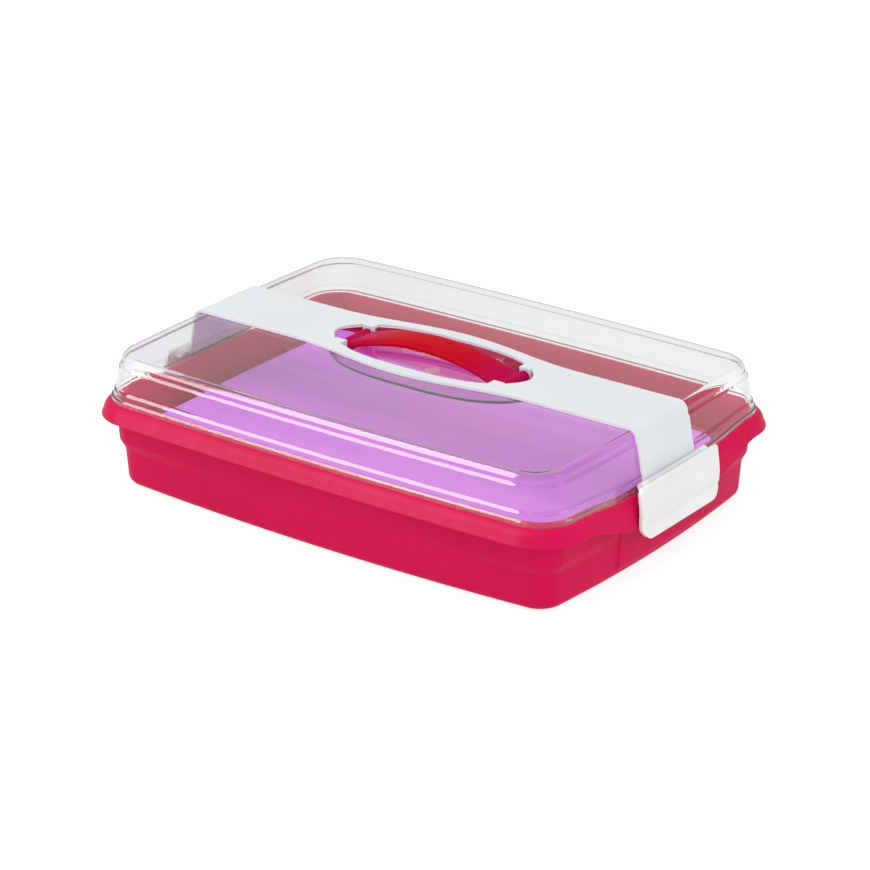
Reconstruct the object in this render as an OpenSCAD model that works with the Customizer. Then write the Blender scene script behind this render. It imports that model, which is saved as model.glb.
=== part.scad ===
// Sheet-cake carrier: a deep tray, a clear lid that lifts off, a strap over the lid with an
// arched carrying handle, two hinged clips at the short ends and a lift-out plate.
// X runs along the long side, Z is up, the origin is the centre of the underside.

/* [Tray] */
// Length of the rim at its top edge, at the corners
rim_l = 434; // [360:1:520]
// Width of the rim at its top edge, at the corners
rim_w = 302; // [250:1:380]
// Height of the ledge that the lid stands on
rim_h = 72.7; // [60:0.1:110]
// Plan radius of the rim's corners
rim_r = 28; // [22:1:44]
// Wall thickness of the tray
tray_t = 2.2; // [1.6:0.1:3]
// How far the end sides bow outwards at their middle
end_bow = 3.5; // [0:0.1:6]
// How far the long sides bow outwards at their middle
side_bow = 4.5; // [0:0.1:8]
// Set-back of the wall from the rim's top edge, just under the rim
wall_in = 4.6; // [4:0.1:9]
// Draft angle of the walls
draft = 3; // [1:0.1:8]
// Rounding between the walls and the underside
foot_r = 7; // [3:0.5:10]
// How far the corners step in below mid-height
corner_step = 4; // [1:0.1:6]
// Height of that step inside the tray
step_z = 40; // [30:0.5:44]
// Plan radius of the corners below that step
low_r = 16; // [12:1:30]

/* [Rim] */
// How far the skirt stands out from the rim's top edge
skirt_out = 8; // [5:0.1:12]
// Height of the skirt, from its lower edge to the ledge
skirt_h = 12.7; // [9:0.1:18]
// How far the rim dips at the middle of each short end
end_dip = 5; // [0:0.1:8]
// How far the skirt hangs down behind a clip, below its edge elsewhere
apron_drop = 14.5; // [9:0.1:20]
// How far the skirt swells out behind a clip
apron_out = 0.5; // [0:0.1:4]
// Height of the upstand that keeps the lid in place
upstand_h = 3; // [1.5:0.1:5]

/* [Lid] */
// Height of the lid, from its foot to its flat top
lid_h = 39; // [34:0.1:90]
// Wall thickness of the lid
lid_t = 1.8; // [1.2:0.1:2.4]
// Radius of the lid's top edge
lid_r = 6; // [4:0.1:12]
// Set-back of the lid's end walls from the rim's edge, under its top edge
lid_end_in = 9; // [5:0.1:14]
// Set-back of the lid's long walls from the rim's edge, under its top edge
lid_side_in = 4; // [3.5:0.1:14]
// Depth of the hollow for the fingers under the handle
hollow_d = 12.5; // [12:0.1:18]
// Height of the lid's foot flange
flange_h = 3; // [2:0.1:5]

/* [Strap] */
// Thickness of the strap
strap_t = 2; // [1.4:0.1:3]
// Width of the strap at its ends
strap_w = 70; // [50:1:84]
// Width of each of the strap's arms beside the opening
arm_w = 12; // [10:0.5:24]
// Reach of the opening past each of the handle's pins
eye_end = 17; // [14:0.5:30]
// Room for the fingers at each side of the grip
finger_w = 22; // [18:0.5:28]

/* [Handle] */
// Distance between the handle's two pins
handle_l = 152; // [130:1:164]
// Width of the handle's grip
grip_w = 29; // [20:1:30]
// Thickness of the grip
grip_t = 5.6; // [4:0.1:8]
// Rise of the arch above the pins
arch_rise = 15; // [6:0.5:24]
// How far the handle lifts in its slots
handle_play = 3.5; // [1:0.1:5]

/* [Clips] */
// Width of a clip
clip_w = 108; // [84:1:120]
// Height of a clip below its hinge
clip_drop = 39.7; // [36:0.1:48]
// Thickness of a clip
clip_t = 2.6; // [1.8:0.1:3.5]
// Plan radius of a clip's lower corners
clip_r = 15; // [6:1:20]
// Diameter of the hinge and handle pins
pin_d = 3; // [2:0.1:3.6]

/* [Plate] */
// Thickness of the lift-out plate
plate_t = 2.2; // [1.6:0.1:3]
// Length of the plate
plate_l = 386; // [340:1:400]
// Width of the plate
plate_w = 244; // [200:1:262]
// Height of the ribs that the plate rests on
plate_z = 45.5; // [42:0.5:54]
// How far the plate's ends reach over the ribs
plate_rest = 6; // [3:0.5:12]
// Height of the plate's raised edge above its surface
plate_edge = 2.5; // [1:0.1:5]

/* [Fits] */
// Gap where two pieces rest on each other
seat_gap = 0.3; // [0.2:0.05:0.5]
// Radial clearance of a pin in its hole
pin_gap = 0.05; // [0.03:0.01:0.08]
// Side gap between moving pieces
side_gap = 0.6; // [0.4:0.1:1]

/* [Hidden] */
$fn = 48;

arc_steps = 7;                      // segments in each plan corner
side_steps = 9;                     // points along each long side
sway_steps = 6;                     // points along each sway of the rim
half_l = rim_l / 2;
half_w = rim_w / 2;
pin_r = pin_d / 2;
hole_r = pin_r + pin_gap;

// the pad on the end wall behind a clip, and the stretch over which the rim sways down to it
pad_half = clip_w / 2;
pad_edge = 2;
sway_start = pad_half + pad_edge;
sway_end = half_w - rim_r - 6;
pad_out = 1.6;

lid_z = rim_h + seat_gap;           // underside of the lid's foot
lid_top = lid_z + lid_h;
strap_z = lid_top + seat_gap;       // underside of the strap on the lid
strap_top = strap_z + strap_t;

function smooth(t) = let (c = min(max(t, 0), 1)) c * c * (3 - 2 * c);
function sway(y) = 1 - smooth((abs(y) - sway_start) / (sway_end - sway_start));
function on_pad(y) = 1 - smooth((abs(y) - pad_half) / pad_edge);

// one level of a loft: height, set-back in x and y from the rim's edge, corner radius, bows,
// and at the middle of the ends the dip, the swelling and the pad
function level(z, in_x, in_y, r, bow_x = end_bow, bow_y = side_bow, dip = 0, out = 0, pad = 0) =
    [z, half_l - in_x, half_w - in_y, r, bow_x, bow_y, dip, out, pad];
function even(z, inset, r, dip = 0, out = 0, pad = 0) =
    level(z, inset, inset, r, end_bow, side_bow, dip, out, pad);

sway_ys = concat([for (k = [1:4]) pad_half * k / 4], [sway_start],
                 [for (k = [1:sway_steps]) sway_start + (sway_end - sway_start) * k / sway_steps]);
end_ys = concat([for (k = [len(sway_ys) - 1:-1:0]) -sway_ys[k]], [0], sway_ys);

// plan points of one level before the bows: corners and sides in turn, anticlockwise; the ends'
// points draw in where the corners leave them less room
function corner(hx, hy, r, sx, sy, start) =
    [for (k = [0:arc_steps]) let (a = start + 90 * k / arc_steps)
        [sx * (hx - r) + r * cos(a), sy * (hy - r) + r * sin(a)]];
function plan(hx, hy, r) = let (fit = min(1, (hy - r - 1) / sway_end)) concat(
    [for (y = end_ys) [hx, y * fit]],
    corner(hx, hy, r, 1, 1, 0),
    [for (k = [1:side_steps]) [(hx - r) * (1 - 2 * k / (side_steps + 1)), hy]],
    corner(hx, hy, r, -1, 1, 90),
    [for (k = [len(end_ys) - 1:-1:0]) [-hx, end_ys[k] * fit]],
    corner(hx, hy, r, -1, -1, 180),
    [for (k = [1:side_steps]) [(hx - r) * (2 * k / (side_steps + 1) - 1), -hy]],
    corner(hx, hy, r, 1, -1, 270));
function ring(v) = [for (p = plan(v[1], v[2], v[3]))
    let (bx = v[4] * (1 - pow(p[1] / v[2], 2)), by = v[5] * (1 - pow(p[0] / v[1], 2)),
         s = sway(p[1]), side = sign(p[0]),
         x = p[0] * (1 + bx / v[1]) + side * (v[7] * s + v[8] * on_pad(p[1])))
    [x, p[1] * (1 + by / v[2]), v[0] - v[6] * s]];

// a closed solid through rings of points that turn anticlockwise about the way they advance
module skin(rings) {
    n = len(rings[0]);
    m = len(rings);
    walls = [for (i = [0:m - 2]) for (k = [0:n - 1]) let (j = (k + 1) % n, a = i * n, b = a + n)
        each [[a + k, b + k, b + j], [a + k, b + j, a + j]]];
    polyhedron([for (r = rings) each r],
               concat([[for (k = [0:n - 1]) k]], walls, [[for (k = [n - 1:-1:0]) (m - 1) * n + k]]),
               convexity = 6);
}
module loft(levels) skin([for (v = levels) ring(v)]);
function back(path) = [for (k = [len(path) - 1:-1:0]) path[k]];

// ---- tray ----
roof_z = rim_h - tray_t;            // underside of the ledge
skirt_z = rim_h - skirt_h;
high_r = low_r + 4;
ledge_share = 0.65;                 // share of the corners' step that is level inside
function wall_at(z) = wall_in + (roof_z - z) * tan(draft);
// the body below the ledge's height, with a share of the corners' step
function stepped(z, inset, r, share, pad = 0) = let (c = share * corner_step, i = wall_at(z) + c + inset)
    level(z, i, i, r, end_bow + c, side_bow + c, pad = pad);
function low(z, inset, r, pad = 0) = stepped(z, inset, r, 1, pad);
// the rim and its skirt, which keep their distance from the rim's top edge round the corners
function rim(z, out, dip, swell = 0) = even(z, -out, rim_r + out, dip, swell);

step_top = step_z - 1.5;            // the outside steps in just below the inside
step_low = step_top - 7.5;
lid_foot_in = 0.3;                  // set-back of the lid's foot from the rim's edge
upstand_in = lid_foot_in + lid_t + 2.2;

module tray() color("crimson") {
    loft([
        low(0, foot_r, low_r - foot_r / 2),
        for (a = [30, 60]) low(foot_r * (1 - cos(a)), foot_r * (1 - sin(a)),
                               low_r - foot_r / 2 * (1 - sin(a))),
        low(foot_r, 0, low_r),
        low(foot_r + 2, 0, low_r, pad_out),
        low(step_low, 0, low_r, pad_out),
        even(step_top, wall_at(step_top), high_r, 0, 0, pad_out),
        even(roof_z, wall_at(roof_z), high_r, end_dip),
        rim(roof_z, 1 - tray_t, end_dip),
        rim(skirt_z + 3, skirt_out * 0.8 - tray_t, apron_drop, apron_out),
        rim(skirt_z, skirt_out - tray_t, apron_drop, apron_out),
        rim(skirt_z, skirt_out, apron_drop, apron_out),
        rim(skirt_z + 5, skirt_out * 0.75, apron_drop * 0.6, apron_out),
        rim(rim_h - 3.6, skirt_out * 0.56, end_dip + 1, apron_out / 2),
        rim(rim_h - 1, skirt_out * 0.2, end_dip),
        rim(rim_h, 0, end_dip),
        rim(rim_h, -upstand_in, end_dip),
        rim(rim_h + upstand_h, -upstand_in - 0.2, end_dip),
        rim(rim_h + upstand_h, 0.4 - upstand_in - tray_t, end_dip),
        even(roof_z, wall_at(roof_z) + tray_t, high_r - tray_t, end_dip),
        even(step_z + 1, wall_at(step_z + 1) + tray_t, high_r - tray_t),
        stepped(step_z, tray_t, high_r - tray_t - 2, ledge_share),
        low(step_low + 2, tray_t, low_r - tray_t),
        low(foot_r + tray_t, tray_t, low_r - tray_t),
        low(tray_t + foot_r * 0.3, tray_t + foot_r * 0.3, low_r - tray_t - foot_r * 0.3),
        low(tray_t, tray_t + foot_r, low_r - tray_t - foot_r / 2)
    ]);
    for (sx = [-1, 1], y = rib_ys, sy = [-1, 1])
        rest_rib(sx, sy * y);
}

// upright ribs inside the end walls that carry the plate's ends
rib_ys = [half_w * 0.5, half_w * 0.66];
rib_t = 2.4;
rib_draft = 2;                      // how much further in a rib reaches at its foot
function inside_x(y, z, step) = let (i = wall_at(z) + step + tray_t)
    half_l - i + (end_bow + step) * (1 - pow(y / (half_w - i), 2));
module rest_rib(side, y) {
    floor_x = inside_x(y, foot_r + tray_t, corner_step);
    root = tray_t / 2;              // how deep a rib's root lies in the wall and the floor
    mirror([side < 0 ? 1 : 0, 0, 0]) translate([0, y + rib_t / 2, 0]) rotate([90, 0, 0])
        linear_extrude(rib_t) polygon([
            [plate_l / 2 - plate_rest - rib_draft, root], [floor_x - foot_r / 2, root],
            [floor_x + root, foot_r + tray_t],
            [inside_x(y, step_low + 2, corner_step) + root, step_low + 2],
            [inside_x(y, plate_z, 0) + root, plate_z],
            [plate_l / 2 - plate_rest, plate_z]]);
}

// ---- lid ----
foot_step = 1.2;                    // how far the lid's foot stands out from its wall
low_step = 0.6;                     // the wall steps in a little above the foot
high_step = 1.2;                    // and again below the rounded top edge
// the lid's wall from the foot up: height, share of the wall's draft, sum of its steps, share of the dip
lid_wall = [[flange_h + 1, 0, 0, 1], [9, 0.2, 0, 0.65], [10.5, 0.22, low_step, 0.55],
            [lid_h - lid_r - 4, 0.9, low_step, 0], [lid_h - lid_r - 2, 0.95, low_step + high_step, 0],
            [lid_h - lid_r, 1, low_step + high_step, 0]];
lid_last = len(lid_wall) - 1;
wall_start = lid_foot_in + foot_step;
function wall_inset(k, full) = wall_start + lid_wall[k][1] * (full - wall_start - low_step - high_step)
    + lid_wall[k][2];
function lid_level(z, in_x, in_y, t, dip) = level(z, in_x + t, in_y + t, rim_r - t, end_bow, side_bow, dip);
function wall_level(k, t) = lid_level(lid_z + lid_wall[k][0] - (k > 2 ? t / 3 : 0),
    wall_inset(k, lid_end_in), wall_inset(k, lid_side_in), t, end_dip * lid_wall[k][3]);
function edge_level(a, t) = let (r = lid_r - t)
    lid_level(lid_top - t - r * (1 - cos(a)), lid_end_in, lid_side_in, t + r * (1 - sin(a)), 0);

// levels from under the flat top down the inside, and back up the outside
module lid() color([0.86, 0.94, 0.92, 0.4]) difference() {
    union() {
        loft(concat(
            [for (a = [0, 30, 60]) edge_level(a, lid_t)],
            [for (k = [lid_last:-1:0]) wall_level(k, lid_t)],
            [lid_level(lid_z, lid_foot_in, lid_foot_in, lid_t + 1, end_dip),
             lid_level(lid_z, lid_foot_in, lid_foot_in, 0, end_dip),
             lid_level(lid_z + flange_h, lid_foot_in, lid_foot_in, 0, end_dip)],
            [for (k = [0:lid_last]) wall_level(k, 0)],
            [for (a = [72:-18:0]) edge_level(a, 0)]));
        eye_loft(lid_top - hollow_d - lid_t, lid_top - lid_t / 2, hollow_low + lid_t, hollow_high + lid_t);
    }
    eye_loft(lid_top - hollow_d, lid_top + 1, hollow_low, hollow_high);
}

// the eye-shaped opening of the strap, and the hollow of the lid that follows it
eye_l = handle_l + 2 * eye_end;
eye_w = grip_w + 2 * finger_w;
hollow_high = 4.5;                  // how far the hollow's mouth reaches past the eye
hollow_low = 2.5;                   // and its floor
eye_steps = 20;
function eye_half(x, grow) = let (t = min(abs(x) / (eye_l / 2 + grow), 1))
    (eye_w / 2 + grow) * pow(1 - pow(t, 3), 0.6);
function eye_points(grow) = let (l = eye_l / 2 + grow) concat(
    [for (k = [0:eye_steps]) let (x = -l * cos(180 * k / eye_steps)) [x, -eye_half(x, grow)]],
    [for (k = [1:eye_steps - 1]) let (x = l * cos(180 * k / eye_steps)) [x, eye_half(x, grow)]]);
module eye_loft(z_low, z_high, grow_low, grow_high) skin([
    [for (p = eye_points(grow_low)) [p[0], p[1], z_low]],
    [for (p = eye_points(grow_high)) [p[0], p[1], z_high]]]);

// ---- strap ----
function end_x(inset) = half_l + end_bow - inset;
hinge_x = end_x(0) + 3.5;           // axis of a clip's hinge
hinge_z = rim_h + 1.5;
knuckle_r = 3.2;
strap_foot_z = hinge_z - 1.5;
// the lid's outline at the middle of a short end, from just above the foot up
strap_path = concat(
    [[end_x(wall_start), strap_foot_z]],
    [for (k = [1:lid_last]) [end_x(wall_inset(k, lid_end_in)), lid_z + lid_wall[k][0] - end_dip * lid_wall[k][3]]],
    [for (a = [75:-15:0]) [end_x(lid_end_in + lid_r * (1 - sin(a))), lid_top - lid_r * (1 - cos(a))]]);
function outward(path, k) = let (a = path[max(k - 1, 0)], b = path[min(k + 1, len(path) - 1)],
    d = b - a) [d[1], -d[0]] / norm(d);
function beside(path, off) = [for (k = [0:len(path) - 1]) path[k] + off * outward(path, k)];
function mirrored(path) = [for (p = path) [-p[0], p[1]]];
strap_inner = beside(strap_path, seat_gap);
strap_outer = beside(strap_path, seat_gap + strap_t);

strap_mid_w = eye_w + 2 * arm_w;
swell_l = eye_l / 2 + 22;           // half the length over which the strap widens
function strap_half(x) = strap_w / 2
    + (strap_mid_w - strap_w) / 4 * (cos(180 * min(abs(x) / swell_l, 1)) + 1);

ear_t = 2.7;
ear_l = 10;
ear_y = grip_w / 2 + 1.8 + side_gap;
pin_z = lid_top - 5;                // height of the handle's pins at rest
ear_low = pin_z - 4.5;

module along_y(x, z, length, r) translate([x, 0, z]) rotate([90, 0, 0])
    cylinder(h = length, r = r, center = true);

module strap() color([0.93, 0.95, 0.96]) difference() {
    union() {
        intersection() {
            rotate([90, 0, 0]) linear_extrude(2 * strap_mid_w, center = true)
                polygon(concat(strap_inner, back(mirrored(strap_inner)), mirrored(strap_outer), back(strap_outer)));
            linear_extrude(lid_top + 50) difference() {
                strap_outline();
                polygon(eye_points(0));
            }
        }
        for (sx = [-1, 1]) {
            strap_knuckle(sx);
            for (sy = [-1, 1]) ear(sx, sy);
        }
    }
    for (sx = [-1, 1]) {
        along_y(sx * hinge_x, hinge_z, strap_w + 2, hole_r);
        along_y(sx * handle_l / 2, pin_z, 2 * (ear_y + ear_t) + 2, hole_r);
        along_y(sx * handle_l / 2, pin_z + handle_play, 2 * (ear_y + ear_t) + 2, hole_r);
        translate([sx * handle_l / 2 - hole_r, -ear_y - ear_t - 1, pin_z])
            cube([2 * hole_r, 2 * (ear_y + ear_t) + 2, handle_play]);
    }
}

module strap_outline() {
    steps = 24;
    reach = half_l + end_bow + 20;
    xs = [for (k = [-steps:steps]) reach * k / steps];
    polygon(concat([for (x = xs) [x, -strap_half(x)]],
                   [for (k = [len(xs) - 1:-1:0]) [xs[k], strap_half(xs[k])]]));
}

// the barrel at the strap's foot that turns on the clip's pin, and the web that carries it
module strap_knuckle(side) mirror([side < 0 ? 1 : 0, 0, 0]) {
    along_y(hinge_x, hinge_z, strap_w, knuckle_r);
    rotate([90, 0, 0]) linear_extrude(strap_w, center = true) polygon([
        [strap_inner[0][0], strap_foot_z], [hinge_x, hinge_z - knuckle_r * 0.8],
        [hinge_x, hinge_z + knuckle_r * 0.8], [strap_outer[0][0] - 0.3, strap_foot_z + 3.5]]);
}

// the cheeks that hold the handle's pins hang from the strap into the hollow
module ear(sx, sy) {
    x = sx * handle_l / 2;
    translate([x - ear_l / 2, sy > 0 ? ear_y : -ear_y - ear_t, ear_low])
        cube([ear_l, ear_t, strap_top - ear_low]);
    translate([x - ear_l / 2, sy > 0 ? ear_y : -eye_w / 2, strap_z])
        cube([ear_l, eye_w / 2 - ear_y, strap_t]);
}

// ---- handle ----
barrel_r = 5.4;
barrel_w = 2 * (ear_y - side_gap);
arch_r = (pow(handle_l / 2, 2) + pow(arch_rise, 2)) / (2 * arch_rise);
arch_a = asin(handle_l / 2 / arch_r);
grip_steps = 24;

// the grip's section: flat below, crowned on top, with round edges; half width and height
function grip_section(w) = [[-w + 1.2, -grip_t / 2], [w - 1.2, -grip_t / 2], [w - 0.3, -grip_t / 2 + 0.4],
    [w, -grip_t / 2 + 1.4], [w, 0.2], [w - 0.8, grip_t / 2 - 1.3], [w - 2.4, grip_t / 2 - 0.5],
    [w * 0.45, grip_t / 2], [-w * 0.45, grip_t / 2], [-w + 2.4, grip_t / 2 - 0.5],
    [-w + 0.8, grip_t / 2 - 1.3], [-w, 0.2], [-w, -grip_t / 2 + 1.4], [-w + 0.3, -grip_t / 2 + 0.4]];
function grip_ring(a) = let (t = abs(a) / arch_a, w = grip_w / 2 + (barrel_w - grip_w) / 2 * pow(t, 6))
    [for (p = grip_section(w)) let (r = arch_r + p[1])
        [r * sin(a), p[0], pin_z + arch_rise - arch_r + r * cos(a)]];

module handle() color("red") difference() {
    union() {
        skin([for (k = [-grip_steps:2:grip_steps]) grip_ring(arch_a * k / grip_steps)]);
        for (sx = [-1, 1]) along_y(sx * handle_l / 2, pin_z, barrel_w, barrel_r);
    }
    for (sx = [-1, 1]) along_y(sx * handle_l / 2, pin_z, barrel_w + 2, hole_r);
}

module handle_pin(side) color("gainsboro")
    along_y(side * handle_l / 2, pin_z, 2 * (ear_y + ear_t) - 0.4, pin_r);

// ---- clips ----
apron_x = half_l + end_bow + skirt_out + apron_out;
apron_z = skirt_z - apron_drop;
clip_in = apron_x + seat_gap;       // inner face of a clip, just clear of the skirt behind it
clip_low = hinge_z - clip_drop;
wrap_r = knuckle_r + side_gap;      // the clip wraps round the strap's barrel at this radius
wrap_top = 35;                      // degrees above the axis at which the wrap ends
lip_out = 2.2;
bead = 1.4;
clip_profile = concat(
    [for (a = [wrap_top:-17.5:-17.5]) [hinge_x + wrap_r * cos(a), hinge_z + wrap_r * sin(a)]],
    [[clip_in, apron_z + 16], [clip_in, apron_z - seat_gap], [clip_in - bead * 0.2, apron_z - 1.2],
     [clip_in - bead * 0.2, apron_z - 2.2], [clip_in + 0.6, apron_z - 3.6],
     [clip_in + lip_out - 0.8, clip_low],
     [clip_in + clip_t + lip_out - 0.6, clip_low], [clip_in + clip_t + lip_out, clip_low + 1],
     [clip_in + clip_t + 0.4, clip_low + 8.4], [clip_in + clip_t - 0.6, clip_low + 10.2],
     [clip_in + clip_t, clip_low + 12.5], [clip_in + clip_t + 0.3, hinge_z - 20],
     [clip_in + clip_t - 0.4, hinge_z - 12]],
    [for (a = [-17.5:17.5:wrap_top]) [hinge_x + (wrap_r + clip_t) * cos(a), hinge_z + (wrap_r + clip_t) * sin(a)]]);
lug_w = 9;                          // width of each of the clip's two barrels
lug_y = strap_w / 2 + side_gap;

module clip(side) color("white") mirror([side < 0 ? 1 : 0, 0, 0]) difference() {
    union() {
        intersection() {
            rotate([90, 0, 0]) linear_extrude(clip_w, center = true) polygon(clip_profile);
            translate([hinge_x - 10, 0, 0]) rotate([90, 0, 90]) linear_extrude(40) clip_face();
        }
        for (sy = [-1, 1]) translate([0, sy * (lug_y + lug_w / 2), 0]) clip_lug();
    }
    along_y(hinge_x, hinge_z, 2 * (lug_y + lug_w - 1), hole_r);
}

// a clip seen from the front, with round corners
module clip_face() {
    high = hinge_z + wrap_r + clip_t;
    top_r = 10;
    hull() for (sy = [-1, 1]) {
        translate([sy * (clip_w / 2 - clip_r), clip_low + clip_r]) circle(clip_r);
        translate([sy * (clip_w / 2 - top_r), high - top_r]) circle(top_r);
    }
}

module clip_lug() {
    rotate([90, 0, 0]) linear_extrude(lug_w, center = true) polygon([
        [hinge_x, hinge_z - knuckle_r], [hinge_x + wrap_r + 1, hinge_z - knuckle_r],
        [hinge_x + wrap_r + 1, hinge_z + 1], [hinge_x, hinge_z + knuckle_r]]);
    along_y(hinge_x, hinge_z, lug_w, knuckle_r);
}

module clip_pin(side) color("silver")
    along_y(side * hinge_x, hinge_z, 2 * (lug_y + lug_w - 1.4), pin_r);

// ---- plate ----
plate_bow = 2;                      // how far its sides bow outwards at their middle
plate_r = 19.5;
plate_lip = 2.4;                    // width of the raised edge on top
plate_slope = 4;                    // run of its inner slope
function lay(h, inset) = level(plate_z + seat_gap + h, half_l - plate_l / 2 + plate_bow + inset,
    half_w - plate_w / 2 + plate_bow + inset, plate_r - inset, plate_bow, plate_bow);
module plate() color("orchid") loft([
    lay(0, 1.5), lay(plate_t, 0), lay(plate_t + plate_edge, 0),
    lay(plate_t + plate_edge, plate_lip), lay(plate_t, plate_lip + plate_slope)]);

tray();
lid();
strap();
handle();
handle_pin(1);  // handle_pin_right
handle_pin(-1);  // handle_pin_left
clip(1);  // clip_right
clip(-1);  // clip_left
clip_pin(1);  // clip_pin_right
clip_pin(-1);  // clip_pin_left
plate();
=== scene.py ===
import math

import bmesh
import bpy
from bpy.props import FloatProperty, FloatVectorProperty, PointerProperty, StringProperty
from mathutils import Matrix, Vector


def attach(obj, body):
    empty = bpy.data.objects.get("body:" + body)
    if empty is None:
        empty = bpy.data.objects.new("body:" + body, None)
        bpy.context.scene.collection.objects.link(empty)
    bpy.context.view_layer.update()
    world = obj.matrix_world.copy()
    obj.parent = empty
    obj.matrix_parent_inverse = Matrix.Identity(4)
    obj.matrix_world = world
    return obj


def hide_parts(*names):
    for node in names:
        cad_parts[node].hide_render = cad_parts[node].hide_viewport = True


bl_info = {
    "name": "Sheet Cake Carrier",
    "version": (1, 0, 0),
    "blender": (4, 5, 0),
    "location": "3D View > Sidebar > Cake Carrier",
    "description": "Dresses a cake carrier: crimson tray, clear lid, strap, handle, clips and lift-out plate",
    "category": "Object",
}

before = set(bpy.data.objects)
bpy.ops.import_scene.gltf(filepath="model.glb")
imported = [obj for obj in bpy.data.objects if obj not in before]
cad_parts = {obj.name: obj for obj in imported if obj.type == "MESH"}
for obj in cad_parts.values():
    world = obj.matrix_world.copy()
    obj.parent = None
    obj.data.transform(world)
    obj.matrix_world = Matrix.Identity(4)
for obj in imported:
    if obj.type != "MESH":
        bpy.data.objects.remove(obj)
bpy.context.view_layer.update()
MM = 0.001
SMOOTH_BELOW = math.radians(35)  # faces that meet at less than this are shaded as one


# ---- colours and nodes ----

def linear(code, alpha=1.0):
    """The linear colour of an sRGB hex value such as #C2234C."""
    parts = [int(code[i:i + 2], 16) / 255 for i in (1, 3, 5)]
    return [p / 12.92 if p <= 0.04045 else ((p + 0.055) / 1.055) ** 2.4 for p in parts] + [alpha]


def add_node(tree, kind, values=None, **settings):
    """One node, with its settings, and with each input given a value or another node's socket."""
    made = tree.nodes.new(kind)
    for name, value in settings.items():
        setattr(made, name, value)
    for key, value in (values or {}).items():
        if isinstance(value, bpy.types.NodeSocket):
            tree.links.new(value, made.inputs[key])
        else:
            made.inputs[key].default_value = value
    return made


def new_material(name):
    """An empty node material with its output, and the Object coordinates that its patterns read."""
    made = bpy.data.materials.new(name)
    made.use_nodes = True
    made.node_tree.nodes.clear()
    output = add_node(made.node_tree, "ShaderNodeOutputMaterial")
    place = add_node(made.node_tree, "ShaderNodeTexCoord").outputs["Object"]
    return made, made.node_tree, output, place


def noise(tree, place, size_mm, detail=2.0, stretch=(1, 1, 1)):
    """A noise whose grains are about size_mm across, drawn out along an axis by stretch."""
    lay = add_node(tree, "ShaderNodeMapping", {"Vector": place, "Scale": stretch})
    return add_node(tree, "ShaderNodeTexNoise", {
        "Vector": lay.outputs["Vector"], "Scale": 1 / (size_mm * MM), "Detail": detail, "Roughness": 0.5,
    }).outputs["Fac"]


def spread(tree, value, low, high, start=0.3, end=0.7):
    """A noise value spread over a range, such as one of roughness."""
    return add_node(tree, "ShaderNodeMapRange", {
        "Value": value, "From Min": start, "From Max": end, "To Min": low, "To Max": high}).outputs["Result"]


def shade(tree, value, low_code, high_code):
    """A colour between two, by a value from 0 to 1."""
    mix = add_node(tree, "ShaderNodeMix", {"Factor": value, 6: linear(low_code), 7: linear(high_code)},
                   data_type="RGBA")
    return mix.outputs[2]


def grain(tree, place, size_mm, depth_mm, strength):
    """The normal of a surface grained by a sparked or etched mould."""
    return add_node(tree, "ShaderNodeBump", {
        "Height": noise(tree, place, size_mm), "Distance": depth_mm * MM, "Strength": strength,
    }).outputs["Normal"]


def surfaced(tree, output, values):
    """A Principled surface with these values, as the material's surface."""
    made = add_node(tree, "ShaderNodeBsdfPrincipled", values)
    tree.links.new(made.outputs["BSDF"], output.inputs["Surface"])


# ---- finishes ----

def crimson_polypropylene(look):
    """Moulded polypropylene: a waxy satin gloss, faint flow marks and a fine sparked grain."""
    made, tree, output, place = new_material("crimson_polypropylene")
    flow = noise(tree, place, 70, 3, (0.5, 1, 2.2))
    tone = shade(tree, spread(tree, flow, 0, 1), look.shade_colour, look.colour)
    surfaced(tree, output, {
        "Base Color": tone,
        "Roughness": spread(tree, noise(tree, place, 9, 3), look.roughness - 0.05, look.roughness + 0.06),
        "IOR": 1.49,
        "Specular IOR Level": 0.08,
        "Normal": grain(tree, place, 0.9, 0.03, 0.1),
    })
    return made


def clear_polystyrene(look, name, colour, painted_light_colour=None):
    """Moulded crystal polystyrene: a hard mirror gloss, water clear, with faint ripples of the melt.
    A painted light colour, when given, paints the red light of the handle as a rose tint on what lies behind the
    middle line."""
    made, tree, output, place = new_material(name)
    tint = linear(colour)
    # painted light: the handle's red light, painted as a rose tint on the back half of the hollow
    if painted_light_colour:
        across = add_node(tree, "ShaderNodeSeparateXYZ", {"Vector": place}).outputs["Y"]
        tint = shade(tree, spread(tree, across, 0, 1, -8 * MM, 2 * MM), colour, painted_light_colour)
    ripple = add_node(tree, "ShaderNodeBump", {
        "Height": noise(tree, place, 38, 1, (0.35, 1, 1)), "Distance": 0.25 * MM, "Strength": 0.04})
    surfaced(tree, output, {
        "Base Color": tint,
        "Roughness": spread(tree, noise(tree, place, 22, 4), 0.0, 0.03),
        "IOR": look.ior,
        "Transmission Weight": 1.0,
        "Normal": ripple.outputs["Normal"],
    })
    return made


def white_polypropylene(look, name, colour, shade_colour):
    """White moulded polypropylene: soft gloss, and milky, so a little of what lies behind tints it."""
    made, tree, output, place = new_material(name)
    flow = noise(tree, place, 55, 3, (0.5, 1, 1))
    surfaced(tree, output, {
        "Base Color": shade(tree, spread(tree, flow, 0, 1), shade_colour, colour),
        "Roughness": look.roughness,
        "IOR": 1.49,
        "Transmission Weight": look.let_through,
        "Normal": grain(tree, place, 30, 0.1, 0.1),
    })
    return made


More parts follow.
